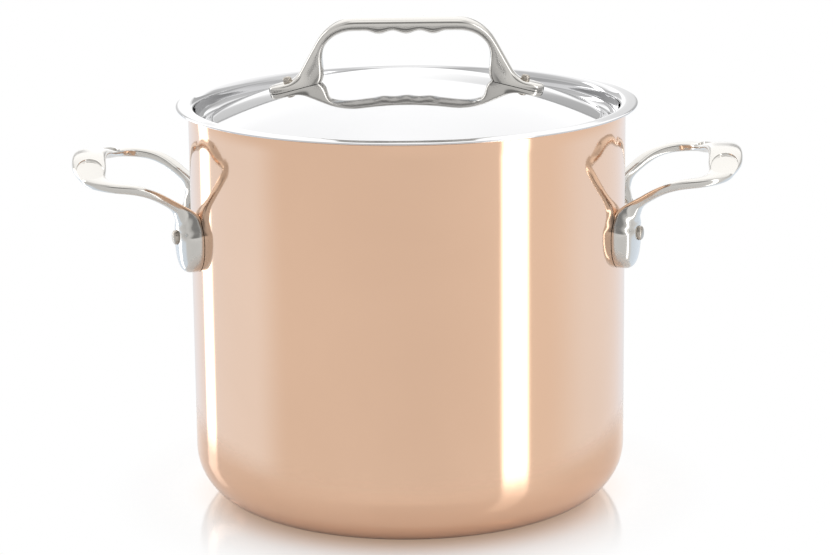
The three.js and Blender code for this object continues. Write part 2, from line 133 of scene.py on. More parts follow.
def sheet_section(walk: Sequence[SheetPoint], near: float, far: float, cap_steps: int = 6) -> Section:
    """Closes the section of a sheet between two depths, with a rounded edge at the end of the walk.

    Args:
        walk: Points along the sheet.
        near: Depth of the face that the walk follows.
        far: Depth of the other face.
        cap_steps: Flats of the rounded edge.

    Returns:
        Radius and height of each point, from the axis and back to it.
    """
    middle, half = (near + far) / 2.0, (far - near) / 2.0
    section = [point.through(far) for point in walk]
    for step in range(1, cap_steps):
        angle = math.pi * step / cap_steps
        section.append(walk[-1].through(middle + half * math.cos(angle), half * math.sin(angle)))
    return section + [point.through(near) for point in reversed(walk)]


@dataclass(frozen=True)
class BarSize:
    """The size of a cast bar across its line: width, depth above and below, and how boxy it is."""

    width: float
    top: float
    under: float
    power: float = 2.8

    def eased(self, other: "BarSize", share: float) -> "BarSize":
        """Gives the size between this one and another.

        Args:
            other: The size at a share of one.
            share: How far along, from zero to one.

        Returns:
            The mixed size.
        """
        ease = share * share * (3.0 - 2.0 * share)
        mixed = (a + (b - a) * ease for a, b in zip(self.tuple(), other.tuple()))
        return BarSize(*mixed)

    def tuple(self) -> tuple[float, float, float, float]:
        """Gives the four numbers in order."""
        return self.width, self.top, self.under, self.power


@dataclass(frozen=True)
class Station:
    """A place on a bar's line with its plan heading, its climb and the bar's size."""

    at: Vector
    heading: float
    climb: float
    size: BarSize

    def ring(self, sides: int) -> list[Vector]:
        """Gives the outline of the bar here, a rounded box.

        Args:
            sides: Points round the outline.

        Returns:
            The points in order, in millimetres.
        """
        across = Vector((-math.sin(self.heading), math.cos(self.heading), 0.0))
        upward = bar_direction(self.heading, self.climb).cross(across)
        points = []
        for step in range(sides):
            angle = TURN * step / sides
            side = soften(math.cos(angle), self.size.power) * self.size.width / 2.0
            lift = soften(math.sin(angle), self.size.power)
            depth = self.size.top if lift > 0.0 else self.size.under
            points.append(self.at + across * side + upward * lift * depth)
        return points


@dataclass(frozen=True)
class Leg:
    """One leg of a bar's line: its length, plan turn and change of climb, and the size at its end."""

    length: float
    turn: float = 0.0
    rise: float = 0.0
    steps: int = 2
    size: BarSize | None = None


def soften(value: float, power: float) -> float:
    """Bends a sine or cosine towards a box; a power of two keeps an ellipse."""
    return math.copysign(abs(value) ** (2.0 / power), value)


def bar_direction(heading: float, climb: float) -> Vector:
    """Gives a bar's direction from its plan angle and its climb."""
    flat = math.cos(climb)
    return Vector((flat * math.cos(heading), flat * math.sin(heading), math.sin(climb)))


def walk_bar(start: Station, legs: Iterable[Leg]) -> list[Station]:
    """Walks along a bar's line.

    Args:
        start: The first station.
        legs: The legs in order.

    Returns:
        All stations, the first one included.
    """
    stations = [start]
    for leg in legs:
        first = stations[-1]
        last_size = leg.size or first.size
        at = first.at.copy()
        for step in range(1, leg.steps + 1):
            half_way = (step - 0.5) / leg.steps
            way = bar_direction(first.heading + leg.turn * half_way, first.climb + leg.rise * half_way)
            at = at + way * (leg.length / leg.steps)
            share = step / leg.steps
            stations.append(
                Station(
                    at.copy(),
                    first.heading + leg.turn * share,
                    first.climb + leg.rise * share,
                    first.size.eased(last_size, share),
                )
            )
    return stations


# Hand modelling


class Bench:
    """Models one piece with the operators of edit mode."""

    def __init__(self, name: str) -> None:
        """Starts a piece from a small circle.

        Args:
            name: Name of the piece.
        """
        bpy.ops.object.select_all(action="DESELECT")
        bpy.ops.mesh.primitive_circle_add(vertices=START_SIDES, radius=MM)
        self.piece: Piece = bpy.context.active_object
        self.piece.name = name
        self.piece.data.name = name

    def lathe(self, section: Section, sides: int) -> Piece:
        """Draws a section point by point and spins it about Z.

        Args:
            section: Radius and height of each point, in millimetres.
            sides: Steps of the spin.

        Returns:
            The piece.
        """
        bpy.ops.object.mode_set(mode="EDIT")
        bpy.ops.mesh.select_mode(type="VERT")
        bpy.ops.mesh.select_all(action="SELECT")
        bpy.ops.mesh.merge(type="CENTER")
        first_r, first_z = section[0]
        bpy.ops.transform.translate(value=(first_r * MM, 0.0, first_z * MM))
        for (r, z), (next_r, next_z) in pairwise(section):
            step = ((next_r - r) * MM, 0.0, (next_z - z) * MM)
            bpy.ops.mesh.extrude_vertices_move(TRANSFORM_OT_translate={"value": step})
        bpy.ops.mesh.select_all(action="SELECT")
        bpy.ops.mesh.spin(steps=sides, angle=TURN, center=(0.0, 0.0, 0.0), axis=(0.0, 0.0, 1.0))
        self.close_skin()
        return self.piece

    def sweep(self, stations: Sequence[Station], sides: int) -> Piece:
        """Sets a ring at each station, bridges them in order and closes the first one.

        Args:
            stations: The stations of the bar.
            sides: Points of each ring.

        Returns:
            The piece, open at its last ring.
        """
        mesh = self.piece.data
        bpy.ops.object.mode_set(mode="EDIT")
        bpy.ops.mesh.select_all(action="SELECT")
        bpy.ops.mesh.delete(type="VERT")
        for station in stations:
            bpy.ops.mesh.primitive_circle_add(vertices=sides, radius=MM)
            skin = bmesh.from_edit_mesh(mesh)
            skin.verts.ensure_lookup_table()
            for vertex, point in zip(skin.verts[-sides:], station.ring(sides)):
                vertex.co = point * MM
        bpy.ops.mesh.select_mode(type="EDGE")
        for ring in range(len(stations) - 1):
            self.pick_edges(ring * sides, 2 * sides)
            bpy.ops.mesh.bridge_edge_loops()
        self.pick_edges(0, sides)
        bpy.ops.mesh.edge_face_add()
        bpy.ops.mesh.poke()
        self.close_skin()
        return self.piece

    def pick_edges(self, first: int, count: int) -> None:
        """Selects a run of edges and nothing else.

        Args:
            first: Index of the first edge.
            count: How many edges follow.
        """
        bpy.ops.mesh.select_all(action="DESELECT")
        skin = bmesh.from_edit_mesh(self.piece.data)
        skin.edges.ensure_lookup_table()
        for edge in skin.edges[first:first + count]:
            edge.select_set(True)
        bmesh.update_edit_mesh(self.piece.data)

    def close_skin(self) -> None:
        """Merges doubles, turns the faces outward and leaves edit mode."""
        bpy.ops.mesh.select_all(action="SELECT")
        bpy.ops.mesh.remove_doubles(threshold=MERGE_GAP * MM)
        bpy.ops.mesh.normals_make_consistent(inside=False)
        bpy.ops.object.mode_set(mode="OBJECT")


def pick(piece: Piece) -> None:
    """Makes a piece the only selected object and the active one.

    Args:
        piece: The piece.
    """
    bpy.ops.object.select_all(action="DESELECT")
    piece.select_set(True)
    bpy.context.view_layer.objects.active = piece


def put(piece: Piece, place: Matrix) -> Piece:
    """Moves a piece and applies its place to its mesh.

    Args:
        piece: The piece at the origin.
        place: Where it goes, in metres.

    Returns:
        The same piece.
    """
    pick(piece)
    piece.matrix_world = place
    bpy.ops.object.transform_apply(location=True, rotation=True, scale=True)
    return piece


def twin(piece: Piece, name: str, place: Matrix) -> Piece:
    """Copies a piece with its own mesh to another place.

    Args:
        piece: The piece to copy.
        name: Name of the copy.
        place: Where the copy goes, in metres.

    Returns:
        The copy.
    """
    pick(piece)
    bpy.ops.object.duplicate(linked=False)
    copy = bpy.context.active_object
    copy.name = name
    copy.data.name = name
    return put(copy, place)


def modify(piece: Piece, kind: str, **settings: object) -> None:
    """Adds a modifier with its settings and applies it.

    Args:
        piece: The piece.
        kind: The modifier's type.
        settings: Values of the modifier.
    """
    pick(piece)
    bpy.ops.object.modifier_add(type=kind)
    modifier = piece.modifiers[-1]
    for key, value in settings.items():
        setattr(modifier, key, value)
    bpy.ops.object.modifier_apply(modifier=modifier.name)


def carve(piece: Piece, cutter: Piece) -> None:
    """Cuts a piece by a closed cutter, which is then deleted."""
    modify(piece, "BOOLEAN", operation="DIFFERENCE", solver="MANIFOLD", object=cutter)
    bpy.data.objects.remove(cutter)


def smooth(piece: Piece, angle: float = SHEET_CREASE) -> None:
    """Shades a piece smooth, with edges kept sharp past an angle in degrees."""
    pick(piece)
    bpy.ops.object.shade_smooth_by_angle(angle=math.radians(angle))


def ease(piece: Piece, inside: Callable[[Vector], bool], repeat: int) -> None:
    """Smooths the part of a piece whose points lie inside a region.

    Args:
        piece: The piece.
        inside: Tells whether a point in metres is in the region.
        repeat: How often the points are averaged.
    """
    pick(piece)
    bpy.ops.object.mode_set(mode="EDIT")
    bpy.ops.mesh.select_mode(type="VERT")
    bpy.ops.mesh.select_all(action="DESELECT")
    skin = bmesh.from_edit_mesh(piece.data)
    for vertex in skin.verts:
        vertex.select_set(inside(vertex.co))
    bmesh.update_edit_mesh(piece.data)
    bpy.ops.mesh.vertices_smooth(factor=EASE_FACTOR, repeat=repeat)
    bpy.ops.object.mode_set(mode="OBJECT")


def cylinder(name: str, radius: float, low: float, high: float, sides: int) -> Piece:
    """Turns a closed cylinder about Z between two heights, for cutting."""
    return Bench(name).lathe([(0.0, low), (radius, low), (radius, high), (0.0, high)], sides)


# Finishes


class Graph:
    """A node tree with short calls to add and join its nodes."""

    def __init__(self, tree: bpy.types.NodeTree) -> None:
        """Takes a node tree and empties it."""
        self.tree = tree
        tree.nodes.clear()

    def add(
        self, kind: str, inputs: dict[str | int, object] | None = None, **settings: object
    ) -> bpy.types.Node:
        """Adds a node, with values or links on its inputs.

        Args:
            kind: Node type.
            inputs: For each input, a value or an output socket to join.
            settings: Properties of the node.

        Returns:
            The node.
        """
        node = self.tree.nodes.new(kind)
        for key, value in settings.items():
            setattr(node, key, value)
        for key, value in (inputs or {}).items():
            if isinstance(value, Socket):
                self.tree.links.new(value, node.inputs[key])
            else:
                node.inputs[key].default_value = value
        return node

    def math(self, operation: str, first: object, second: object = 0.0, third: object = 0.0) -> Socket:
        """Adds a maths node with values or sockets and gives its result."""
        values = {0: first, 1: second, 2: third}
        return self.add("ShaderNodeMath", values, operation=operation).outputs[0]

    def distance(self, x: Socket, y: Socket) -> Socket:
        """Gives the distance from the Z axis for a place along X and Y."""
        squares = self.math("ADD", self.math("MULTIPLY", x, x), self.math("MULTIPLY", y, y))
        return self.math("SQRT", squares)

    def ramp(self, value: Socket, low: float, high: float, start: float = 0.0, end: float = 1.0) -> Socket:
        """Maps a value from one range to another, with soft ends."""
        values = {"Value": value, "From Min": low, "From Max": high, "To Min": start, "To Max": end}
        return self.add("ShaderNodeMapRange", values, interpolation_type="SMOOTHSTEP").outputs[0]

    def blend(self, share: object, first: object, second: object) -> Socket:
        """Mixes two colours.

        Args:
            share: Share of the second.
            first: First colour or socket.
            second: Second colour or socket.

        Returns:
            The mixed colour.
        """
        node = self.add("ShaderNodeMix", {0: share}, data_type="RGBA")
        for index, value in ((6, first), (7, second)):
            if isinstance(value, Socket):
                self.tree.links.new(value, node.inputs[index])
            else:
                node.inputs[index].default_value = (*value, 1.0)
        return node.outputs[2]


class Effect(Enum):
    """The surface effects that the finishes share."""

    TURNED_LINES = "turned_lines"
    HAND_HAZE = "hand_haze"
    CAST_SKIN = "cast_skin"


def effect_group(effect: Effect) -> bpy.types.NodeTree:
    """Gives the node group of an effect and builds it on its first use.

    Args:
        effect: The effect.

    Returns:
        Its node group.
    """
    known = bpy.data.node_groups.get(effect.value)
    if known:
        return known
    tree = bpy.data.node_groups.new(effect.value, "ShaderNodeTree")
    for name in ("Fineness", "Low", "High"):
        tree.interface.new_socket(name, in_out="INPUT", socket_type="NodeSocketFloat")
    tree.interface.new_socket("Value", in_out="OUTPUT", socket_type="NodeSocketFloat")
    graph = Graph(tree)
    entry = graph.add("NodeGroupInput")
    place = graph.add("ShaderNodeTexCoord").outputs["Object"]
    builders = {Effect.TURNED_LINES: turned_lines, Effect.HAND_HAZE: hand_haze, Effect.CAST_SKIN: cast_skin}
    value = builders[effect](graph, place, entry.outputs["Fineness"])
    spread = graph.add(
        "ShaderNodeMapRange",
        {
            "Value": value,
            "From Min": NOISE_LOW,
            "From Max": NOISE_HIGH,
            "To Min": entry.outputs["Low"],
            "To Max": entry.outputs["High"],
        },
    )
    graph.add("NodeGroupOutput", {"Value": spread.outputs[0]})
    return tree


def turned_lines(graph: Graph, place: Socket, fineness: Socket) -> Socket:
    """Draws the fine lines that polishing on a turning spindle leaves round the Z axis.

    Args:
        graph: The group's graph.
        place: Object coordinates.
        fineness: Lines per metre.

    Returns:
        The lines' height.
    """
    axes = graph.add("ShaderNodeSeparateXYZ", {0: place})
    x, y, z = axes.outputs
    angle = graph.math("ARCTAN2", y, x)
    radius = graph.distance(x, y)
    across = graph.math("MULTIPLY", graph.math("ADD", radius, z), fineness)
    lines = graph.add("ShaderNodeCombineXYZ", {0: angle, 1: across})
    noise = graph.add("ShaderNodeTexNoise", {"Vector": lines.outputs[0], "Scale": 1.0, "Detail": 3.0})
    return noise.outputs[0]


def hand_haze(graph: Graph, place: Socket, fineness: Socket) -> Socket:
    """Draws the soft patches that handling and wiping leave on polished metal."""
    values = {"Vector": place, "Scale": fineness, "Detail": 4.0, "Roughness": 0.55, "Distortion": 0.6}
    return graph.add("ShaderNodeTexNoise", values).outputs[0]


def cast_skin(graph: Graph, place: Socket, fineness: Socket) -> Socket:
    """Draws the slight waviness of a polished casting."""
    values = {"Vector": place, "Scale": fineness, "Detail": 2.0, "Roughness": 0.4}
    return graph.add("ShaderNodeTexNoise", values).outputs[0]


@dataclass(frozen=True)
class MetalFinish:
    """A polished or satin metal with haze, polishing lines and a casting's skin."""

    name: str
    slot: str
    colour: Colour
    hazed: Colour
    gloss: tuple[float, float]
    haze_per_metre: float = 14.0
    lines_per_metre: float = 2600.0
    line_height: float = 0.0
    skin_per_metre: float = 90.0
    skin_height: float = 0.0
    line_share: float = 0.25

    def material(self) -> bpy.types.Material:
        """Gives the material and builds it on its first use.

        Returns:
            The material.
        """
        known = bpy.data.materials.get(self.name)
        if known:
            return known
        material = bpy.data.materials.new(self.name)
        material.use_nodes = True
        graph = Graph(material.node_tree)
        haze = self.effect(graph, Effect.HAND_HAZE, self.haze_per_metre, 0.0, 1.0)
        lines = self.effect(graph, Effect.TURNED_LINES, self.lines_per_metre, -1.0, 1.0)
        skin = self.effect(graph, Effect.CAST_SKIN, self.skin_per_metre, 0.0, 1.0)
        low, high = self.gloss
        rough = graph.math("MULTIPLY_ADD", haze, high - low, low)
        rough = graph.math("MULTIPLY_ADD", lines, self.line_share * (high - low), rough)
        colour = graph.blend(haze, self.colour, self.hazed)
        height = graph.math("MULTIPLY", lines, self.line_height * MM)
        height = graph.math("MULTIPLY_ADD", skin, self.skin_height * MM, height)
        bump = graph.add("ShaderNodeBump", {"Height": height, "Strength": 1.0, "Distance": 1.0})
        shader = graph.add(
            "ShaderNodeBsdfPrincipled",
            {"Base Color": colour, "Metallic": 1.0, "Roughness": rough, "Normal": bump.outputs[0]},
        )
        graph.add("ShaderNodeOutputMaterial", {"Surface": shader.outputs[0]})
        return material

    @staticmethod
    def effect(graph: Graph, effect: Effect, fineness: float, low: float, high: float) -> Socket:
        """Places a shared effect in the material.

        Args:
            graph: The material's graph.
            effect: The effect.
            fineness: Its features per metre.
            low: Its lowest usual value.
            high: Its highest usual value.

        Returns:
            The effect's value.
        """
        node = graph.add("ShaderNodeGroup", node_tree=effect_group(effect))
        for key, value in {"Fineness": fineness, "Low": low, "High": high}.items():
            node.inputs[key].default_value = value
        return node.outputs[0]

    def dress(self, piece: Piece) -> None:
        """Gives a piece this finish.

        Args:
            piece: The piece.
        """
        piece.data.materials.clear()
        piece.data.materials.append(self.material())


COPPER = MetalFinish(
    name="polished_copper", slot="copper",
    colour=(0.875, 0.582, 0.41), hazed=(0.845, 0.56, 0.392), gloss=(0.05, 0.09),
    haze_per_metre=9.0, line_height=0.0006,
)
# The lining's colour is set much lighter than the lid's steel: painted light that brightens the shaded inside
# of the pot.
LINING_STEEL = MetalFinish(
    name="brushed_lining", slot="lining_steel",
    colour=(0.9, 0.9, 0.89), hazed=(0.86, 0.86, 0.85), gloss=(0.2, 0.3),
    line_height=0.004,
)
LID_STEEL = MetalFinish(
    name="mirror_lid_steel", slot="lid_steel",
    colour=(0.68, 0.68, 0.685), hazed=(0.66, 0.66, 0.665), gloss=(0.03, 0.06),
    line_height=0.0004,
)
CAST_STEEL = MetalFinish(
    name="polished_cast_steel", slot="cast_steel",
    colour=(0.68, 0.66, 0.625), hazed=(0.65, 0.63, 0.595), gloss=(0.11, 0.16),
    skin_height=0.01,
)
RIVET_STEEL = MetalFinish(
    name="satin_rivet_steel", slot="rivet_steel",
    colour=(0.52, 0.48, 0.43), hazed=(0.42, 0.38, 0.33), gloss=(0.22, 0.36),
    haze_per_metre=240.0, skin_per_metre=900.0, skin_height=0.02,
)


# The pot


@dataclass(frozen=True)
class Rivet:
    """A rivet with a head outside, a shank and a flat tail inside."""

    head_diameter: float
    head_height: float
    shank_diameter: float
    tail_diameter: float
    tail_height: float
    grip: float = 0.0
    sides: int = 48
    head_rim: float = 0.45
    head_bow: float = 0.7
    head_steps: int = 8
    tail_flat: float = 0.6
    tail_corner: float = 0.85
    tail_lift: float = 0.2
    tail_rim: float = 0.6
    crease: float = 40.0

    def section(self) -> Section:
        """Gives the section with the seat of the head at zero.

        Returns:
            Radius and height of each point.
        """
        head, tail = self.head_diameter / 2.0, self.tail_diameter / 2.0
        shank, low = self.shank_diameter / 2.0, -self.grip - self.tail_height
        points = [
            (0.0, low),
            (tail * self.tail_flat, low),
            (tail * self.tail_corner, low + self.tail_height * self.tail_lift),
            (tail, low + self.tail_height * self.tail_rim),
            (tail, -self.grip),
            (shank, -self.grip),
            (shank, 0.0),
            (head, 0.0),
            (head, self.head_height * self.head_rim),
        ]
        for step in range(1, self.head_steps):
            angle = QUARTER * step / self.head_steps
            drop = (1.0 - self.head_rim) * (1.0 - math.sin(angle))
            points.append((head * math.cos(angle) ** self.head_bow, self.head_height * (1.0 - drop)))
        return points + [(0.0, self.head_height)]

    def build(self, name: str, place: Matrix) -> Piece:
        """Turns the rivet and sets it in its place.

        Args:
            name: Name of the piece.
            place: Frame of the head's seat, in metres.

        Returns:
            The rivet.
        """
        piece = put(Bench(name).lathe(self.section(), self.sides), place)
        smooth(piece, self.crease)
        return piece


@dataclass
class PotBody:
    """The pot's copper sheet and the steel sheet that lines it."""

    bore: float = 240.0
    height: float = 222.9
    copper: float = 1.4
    lining: float = 0.5
    bond_gap: float = 0.1
    corner_radius: float = 29.2
    sides: int = 192

    @property
    def wall(self) -> float:
        """Gives the thickness of both sheets."""
        return self.copper + self.bond_gap + self.lining

    @property
    def outer_radius(self) -> float:
        """Gives the wall's outer radius."""
        return self.bore / 2.0 + self.wall

    def walk(self) -> list[SheetPoint]:
        """Walks along the inner face from the middle of the base to the upper edge.

        Returns:
            The points of the walk.
        """
        edge = self.copper / 2.0
        return walk_sheet(self.wall, [
            Move(length=self.outer_radius - self.corner_radius, steps=4),
            Move(radius=self.corner_radius - self.wall, turn=QUARTER, steps=20),
            Move(length=self.height - edge - self.corner_radius, steps=24),
        ])

    def build(self) -> None:
        """Turns both sheets and dresses them."""
        walk = self.walk()
        copper_section = sheet_section(walk, self.lining + self.bond_gap, self.wall)
        shell = Bench("copper_body").lathe(copper_section, self.sides)
        lining = Bench("bright_lining").lathe(sheet_section(walk, 0.0, self.lining), self.sides)
        for piece, finish, node in (
            (shell, COPPER, "copper_shell"),
            (lining, LINING_STEEL, "steel_lining"),
        ):
            smooth(piece)
            finish.dress(piece)
            settle(piece, "pot", node)


def settle(piece: Piece, body: str, node: str) -> None:
    """Lets a piece ride on a body in place of its solid, and reports it.

    Args:
        piece: The piece.
        body: The body that carries it.
        node: The solid that it stands for.
    """
    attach(piece, body)
    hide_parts(node)
    log.info("%s rides on %s and stands for %s", piece.name, body, node)


@dataclass
class SideHandles:
    """The two cast loops at the pot's sides, with their rivets."""

    pot: PotBody
    foot_angle: float = math.radians(17.0)
    foot_drop: float = 86.0
    foot_straight: float = 20.9
    foot_rounding: float = 16.5
    foot_width: float = 31.0
    foot_thickness: float = 11.2
    foot_power: float = 3.4
    neck_power: float = 3.2
    tip_steps: int = 8
    tip_bluntness: float = 3.0
    easing_loss: float = 1.0
    easing_rise: float = 22.0
    easing_reach: float = 33.0
    easing_passes: int = 70
    arm_angle: float = math.radians(31.0)
    arm_width: float = 8.6
    arm_thickness: float = 5.2
    arm_power: float = 2.8
    arm_bend: float = 16.4
    arm_slope: float = math.radians(31.0)
    arm_fillet: float = 4.5
    level_radius: float = 45.0
    level_slope: float = math.radians(6.0)
    level_angle: float = math.radians(7.0)
    corner_radius: float = 17.0
    reach: float = 56.0
    grip_bow: float = math.radians(18.0)
    grip_arch: float = math.radians(14.0)
    grip_width: float = 19.0
    grip_thickness: float = 6.0
    grip_power: float = 2.6
    dish_offset: float = 31.0
    dish_level: float = 21.0
    dish_length: float = 30.0
    dish_width: float = 15.5
    dish_depth: float = 1.3
    dish_rounding: float = 0.8
    dish_steps: int = 6
    dish_sides: int = 96
    rivet_rise: float = 19.7
    rivet_seat: float = 0.8
    rivet_clearance: float = 0.15
    seat_relief: float = 0.05
    fit_gap: float = 0.2
    wall_low: float = 100.0
    wall_high: float = 215.0
    wall_sides: int = 256
    sides: int = 20
    crease: float = 60.0
    rivet: Rivet = field(default_factory=lambda: Rivet(7.9, 3.3, 5.0, 9.0, 1.3))

    @property
    def foot_bottom(self) -> float:
        """Gives the height of the feet's lower ends."""
        return self.pot.height - self.foot_drop

    @property
    def swept_thickness(self) -> float:
        """Gives the thickness of a foot before it is eased."""
        return self.foot_thickness + self.easing_loss / 2.0

    def stations(self) -> list[Station]:
        """Walks from a foot's lower end up the wall, along the arm and round to the grip's middle.

        Returns:
            The stations.
        """
        outer = self.pot.outer_radius
        bend = QUARTER - self.arm_slope
        full = BarSize(
            self.foot_width + 2.0 * self.easing_loss,
            self.foot_thickness / 2.0,
            self.swept_thickness,
            self.foot_power,
        )
        neck = BarSize(
            (self.foot_width * 2.0 + self.arm_width) / 3.0,
            self.foot_thickness / 3.0,
            self.face_depth(QUARTER - bend / 2.0),
            self.neck_power,
        )
        root = BarSize(
            (self.foot_width + self.arm_width * 7.0) / 8.0,
            self.arm_thickness / 2.0,
            self.face_depth(self.arm_slope),
            self.arm_power,
        )
        arm = BarSize(self.arm_width, self.arm_thickness / 2.0, self.arm_thickness / 2.0, self.arm_power)
        corner = replace(arm, width=(self.arm_width + self.grip_width) / 2.0)
        grip = BarSize(self.grip_width, self.grip_thickness / 2.0, self.grip_thickness / 2.0, self.grip_power)
        tip = self.tip(full)
        levelling = self.arm_slope - self.level_slope
        splay = self.arm_angle - self.foot_angle
        turning = QUARTER + self.level_angle - self.grip_bow
        arching = self.grip_arch - self.level_slope

        def route(arm_length: float, bow_length: float) -> list[Station]:
            """Walks the whole bar.

            Args:
                arm_length: Length of the arm's straight run.
                bow_length: Length of half the bowed grip.

            Returns:
                The stations from the foot to the grip's middle.
            """
            half_bend = self.arm_bend * bend / 2.0
            return walk_bar(tip[-1], [
                Leg(self.foot_straight - self.foot_rounding + self.easing_loss, steps=2),
                Leg(half_bend, splay / 2.0, -bend / 2.0, steps=5, size=neck),
                Leg(half_bend, splay / 2.0, -bend / 2.0, steps=5, size=root),
                Leg(self.arm_fillet, steps=3, size=arm),
                Leg(arm_length, steps=3),
                Leg(self.level_radius * levelling, self.level_angle - self.arm_angle, -levelling, steps=6),
                Leg(self.corner_radius * turning, -turning, steps=10, size=corner),
                Leg(bow_length / 2.0, -self.grip_bow / 2.0, arching, steps=5, size=grip),
                Leg(bow_length / 2.0, -self.grip_bow / 2.0, -self.grip_arch, steps=5),
            ])

        bare = route(0.0, 0.0)[-1].at
        per_arm = route(1.0, 0.0)[-1].at - bare
        per_bow = route(0.0, 1.0)[-1].at - bare
        missing = outer + self.reach - bare.x
        crossing = per_arm.x * per_bow.y - per_arm.y * per_bow.x
        arm_length = (missing * per_bow.y + bare.y * per_bow.x) / crossing
        bow_length = -(bare.y + arm_length * per_arm.y) / per_bow.y
        return tip[:-1] + route(arm_length, bow_length)

    def tip(self, full: BarSize) -> list[Station]:
        """Rounds the lower end of a foot.

        Args:
            full: The foot's size above its rounded end.

        Returns:
            The stations of the end, from its lowest point up.
        """
        outer, bottom = self.pot.outer_radius, self.foot_bottom - self.easing_loss
        foot = Vector((outer * math.cos(self.foot_angle), outer * math.sin(self.foot_angle), bottom))
        stations = []
        for step in range(1, self.tip_steps + 1):
            angle = QUARTER * step / self.tip_steps
            share = math.sin(angle)
            at = foot + Vector((0.0, 0.0, (1.0 - math.cos(angle)) * self.foot_rounding))
            depth = full.under * share ** (1.0 / self.tip_bluntness)
            size = replace(full, width=full.width * share, under=depth)
            stations.append(Station(at, self.foot_angle, QUARTER, size))
        return stations

    def face_depth(self, climb: float) -> float:
        """Gives the depth that keeps the foot's outer face upright while the bar bends away."""
        return (self.swept_thickness - self.arm_bend * (1.0 - math.sin(climb))) / math.sin(climb)

    def rivet_frame(self, angle: float) -> Matrix:
        """Gives the frame of a rivet's seat, whose Z leads outward.

        Args:
            angle: Plan angle of the foot.

        Returns:
            The frame, in metres.
        """
        radius = self.pot.outer_radius + self.foot_thickness - self.rivet_seat
        height = self.foot_bottom + self.rivet_rise
        at = Vector((radius * math.cos(angle), radius * math.sin(angle), height)) * MM
        outward = Matrix.Rotation(angle, 4, "Z") @ Matrix.Rotation(QUARTER, 4, "Y")
        return Matrix.Translation(at) @ outward

    def dish_frame(self, stations: Sequence[Station]) -> Matrix:
        """Gives the frame of the thumb dish on the back half of the grip, whose Z leads out of the grip.

        Args:
            stations: The stations of the loop's back half.

        Returns:
            The frame, in metres, stretched along the grip.
        """
        grip = [station for station in stations if station.at.x > self.pot.outer_radius + self.reach / 2.0]
        near = min(grip, key=lambda station: abs(station.at.y - self.dish_level))
        forward = bar_direction(near.heading, near.climb)
        across = Vector((-math.sin(near.heading), math.cos(near.heading), 0.0))
        upward = forward.cross(across)
        at = near.at + upward * near.size.top - forward * (self.dish_offset - near.at.y)
        turned = Matrix((forward, across, upward)).transposed().to_4x4()
        stretch = Matrix.Diagonal((self.dish_length / self.dish_width, 1.0, 1.0, 1.0))
        return Matrix.Translation(at * MM) @ turned @ stretch

    def dish_cutter(self) -> Piece:
        """Turns the round cutter of a thumb dish, with a softened lower edge.

        Returns:
            The cutter.
        """
        radius, soft, top = self.dish_width / 2.0, self.dish_rounding, self.foot_thickness
        section = [(0.0, -self.dish_depth)]
        for step in range(self.dish_steps + 1):
            angle = QUARTER * step / self.dish_steps
            r = radius - soft + soft * math.sin(angle)
            section.append((r, soft - self.dish_depth - soft * math.cos(angle)))
        return Bench("dish_cutter").lathe(section + [(radius, top), (0.0, top)], self.dish_sides)

    def build(self) -> None:
        """Models one loop and its rivets, and copies them to the other side."""
        stations = self.stations()
        loop = Bench("side_loop_right").sweep(stations, self.sides)
        modify(loop, "MIRROR", use_axis=(False, True, False), merge_threshold=0.01 * MM)
        modify(loop, "SUBSURF", levels=2, render_levels=2)
        neck_top = (self.foot_bottom + self.foot_straight + self.easing_rise) * MM
        neck_end = (self.pot.outer_radius + self.easing_reach) * MM
        ease(loop, lambda point: point.z < neck_top and point.x < neck_end, self.easing_passes)
        for side in (1.0, -1.0):
            flip = Matrix.Diagonal((1.0, side, 1.0, 1.0))
            carve(loop, put(self.dish_cutter(), flip @ self.dish_frame(stations) @ flip))
        wall = self.pot.outer_radius + self.fit_gap
        carve(loop, cylinder("wall_cutter", wall, self.wall_low, self.wall_high, self.wall_sides))
        grip = self.foot_thickness - self.rivet_seat + self.pot.wall + self.fit_gap
        rivet = replace(self.rivet, grip=grip)
        for angle in (self.foot_angle, -self.foot_angle):
            seat = rivet.head_diameter / 2.0 + self.rivet_clearance
            cutter = cylinder("seat_cutter", seat, -self.seat_relief, self.foot_thickness, rivet.sides)
            carve(loop, put(cutter, self.rivet_frame(angle)))
        smooth(loop, self.crease)
        half_turn = Matrix.Rotation(math.pi, 4, "Z")
        loops = {"right": loop, "left": twin(loop, "side_loop_left", half_turn)}
        for side, piece in loops.items():
            CAST_STEEL.dress(piece)
            settle(piece, "pot", f"side_handle_{side}")
        places = {
            "right_back": self.foot_angle,
            "right_front": -self.foot_angle,
            "left_back": math.pi - self.foot_angle,
            "left_front": math.pi + self.foot_angle,
        }
        for place, angle in places.items():
            piece = rivet.build(f"loop_rivet_{place}", self.rivet_frame(angle))
            RIVET_STEEL.dress(piece)
            settle(piece, "pot", f"side_rivet_{place}")


# The lid


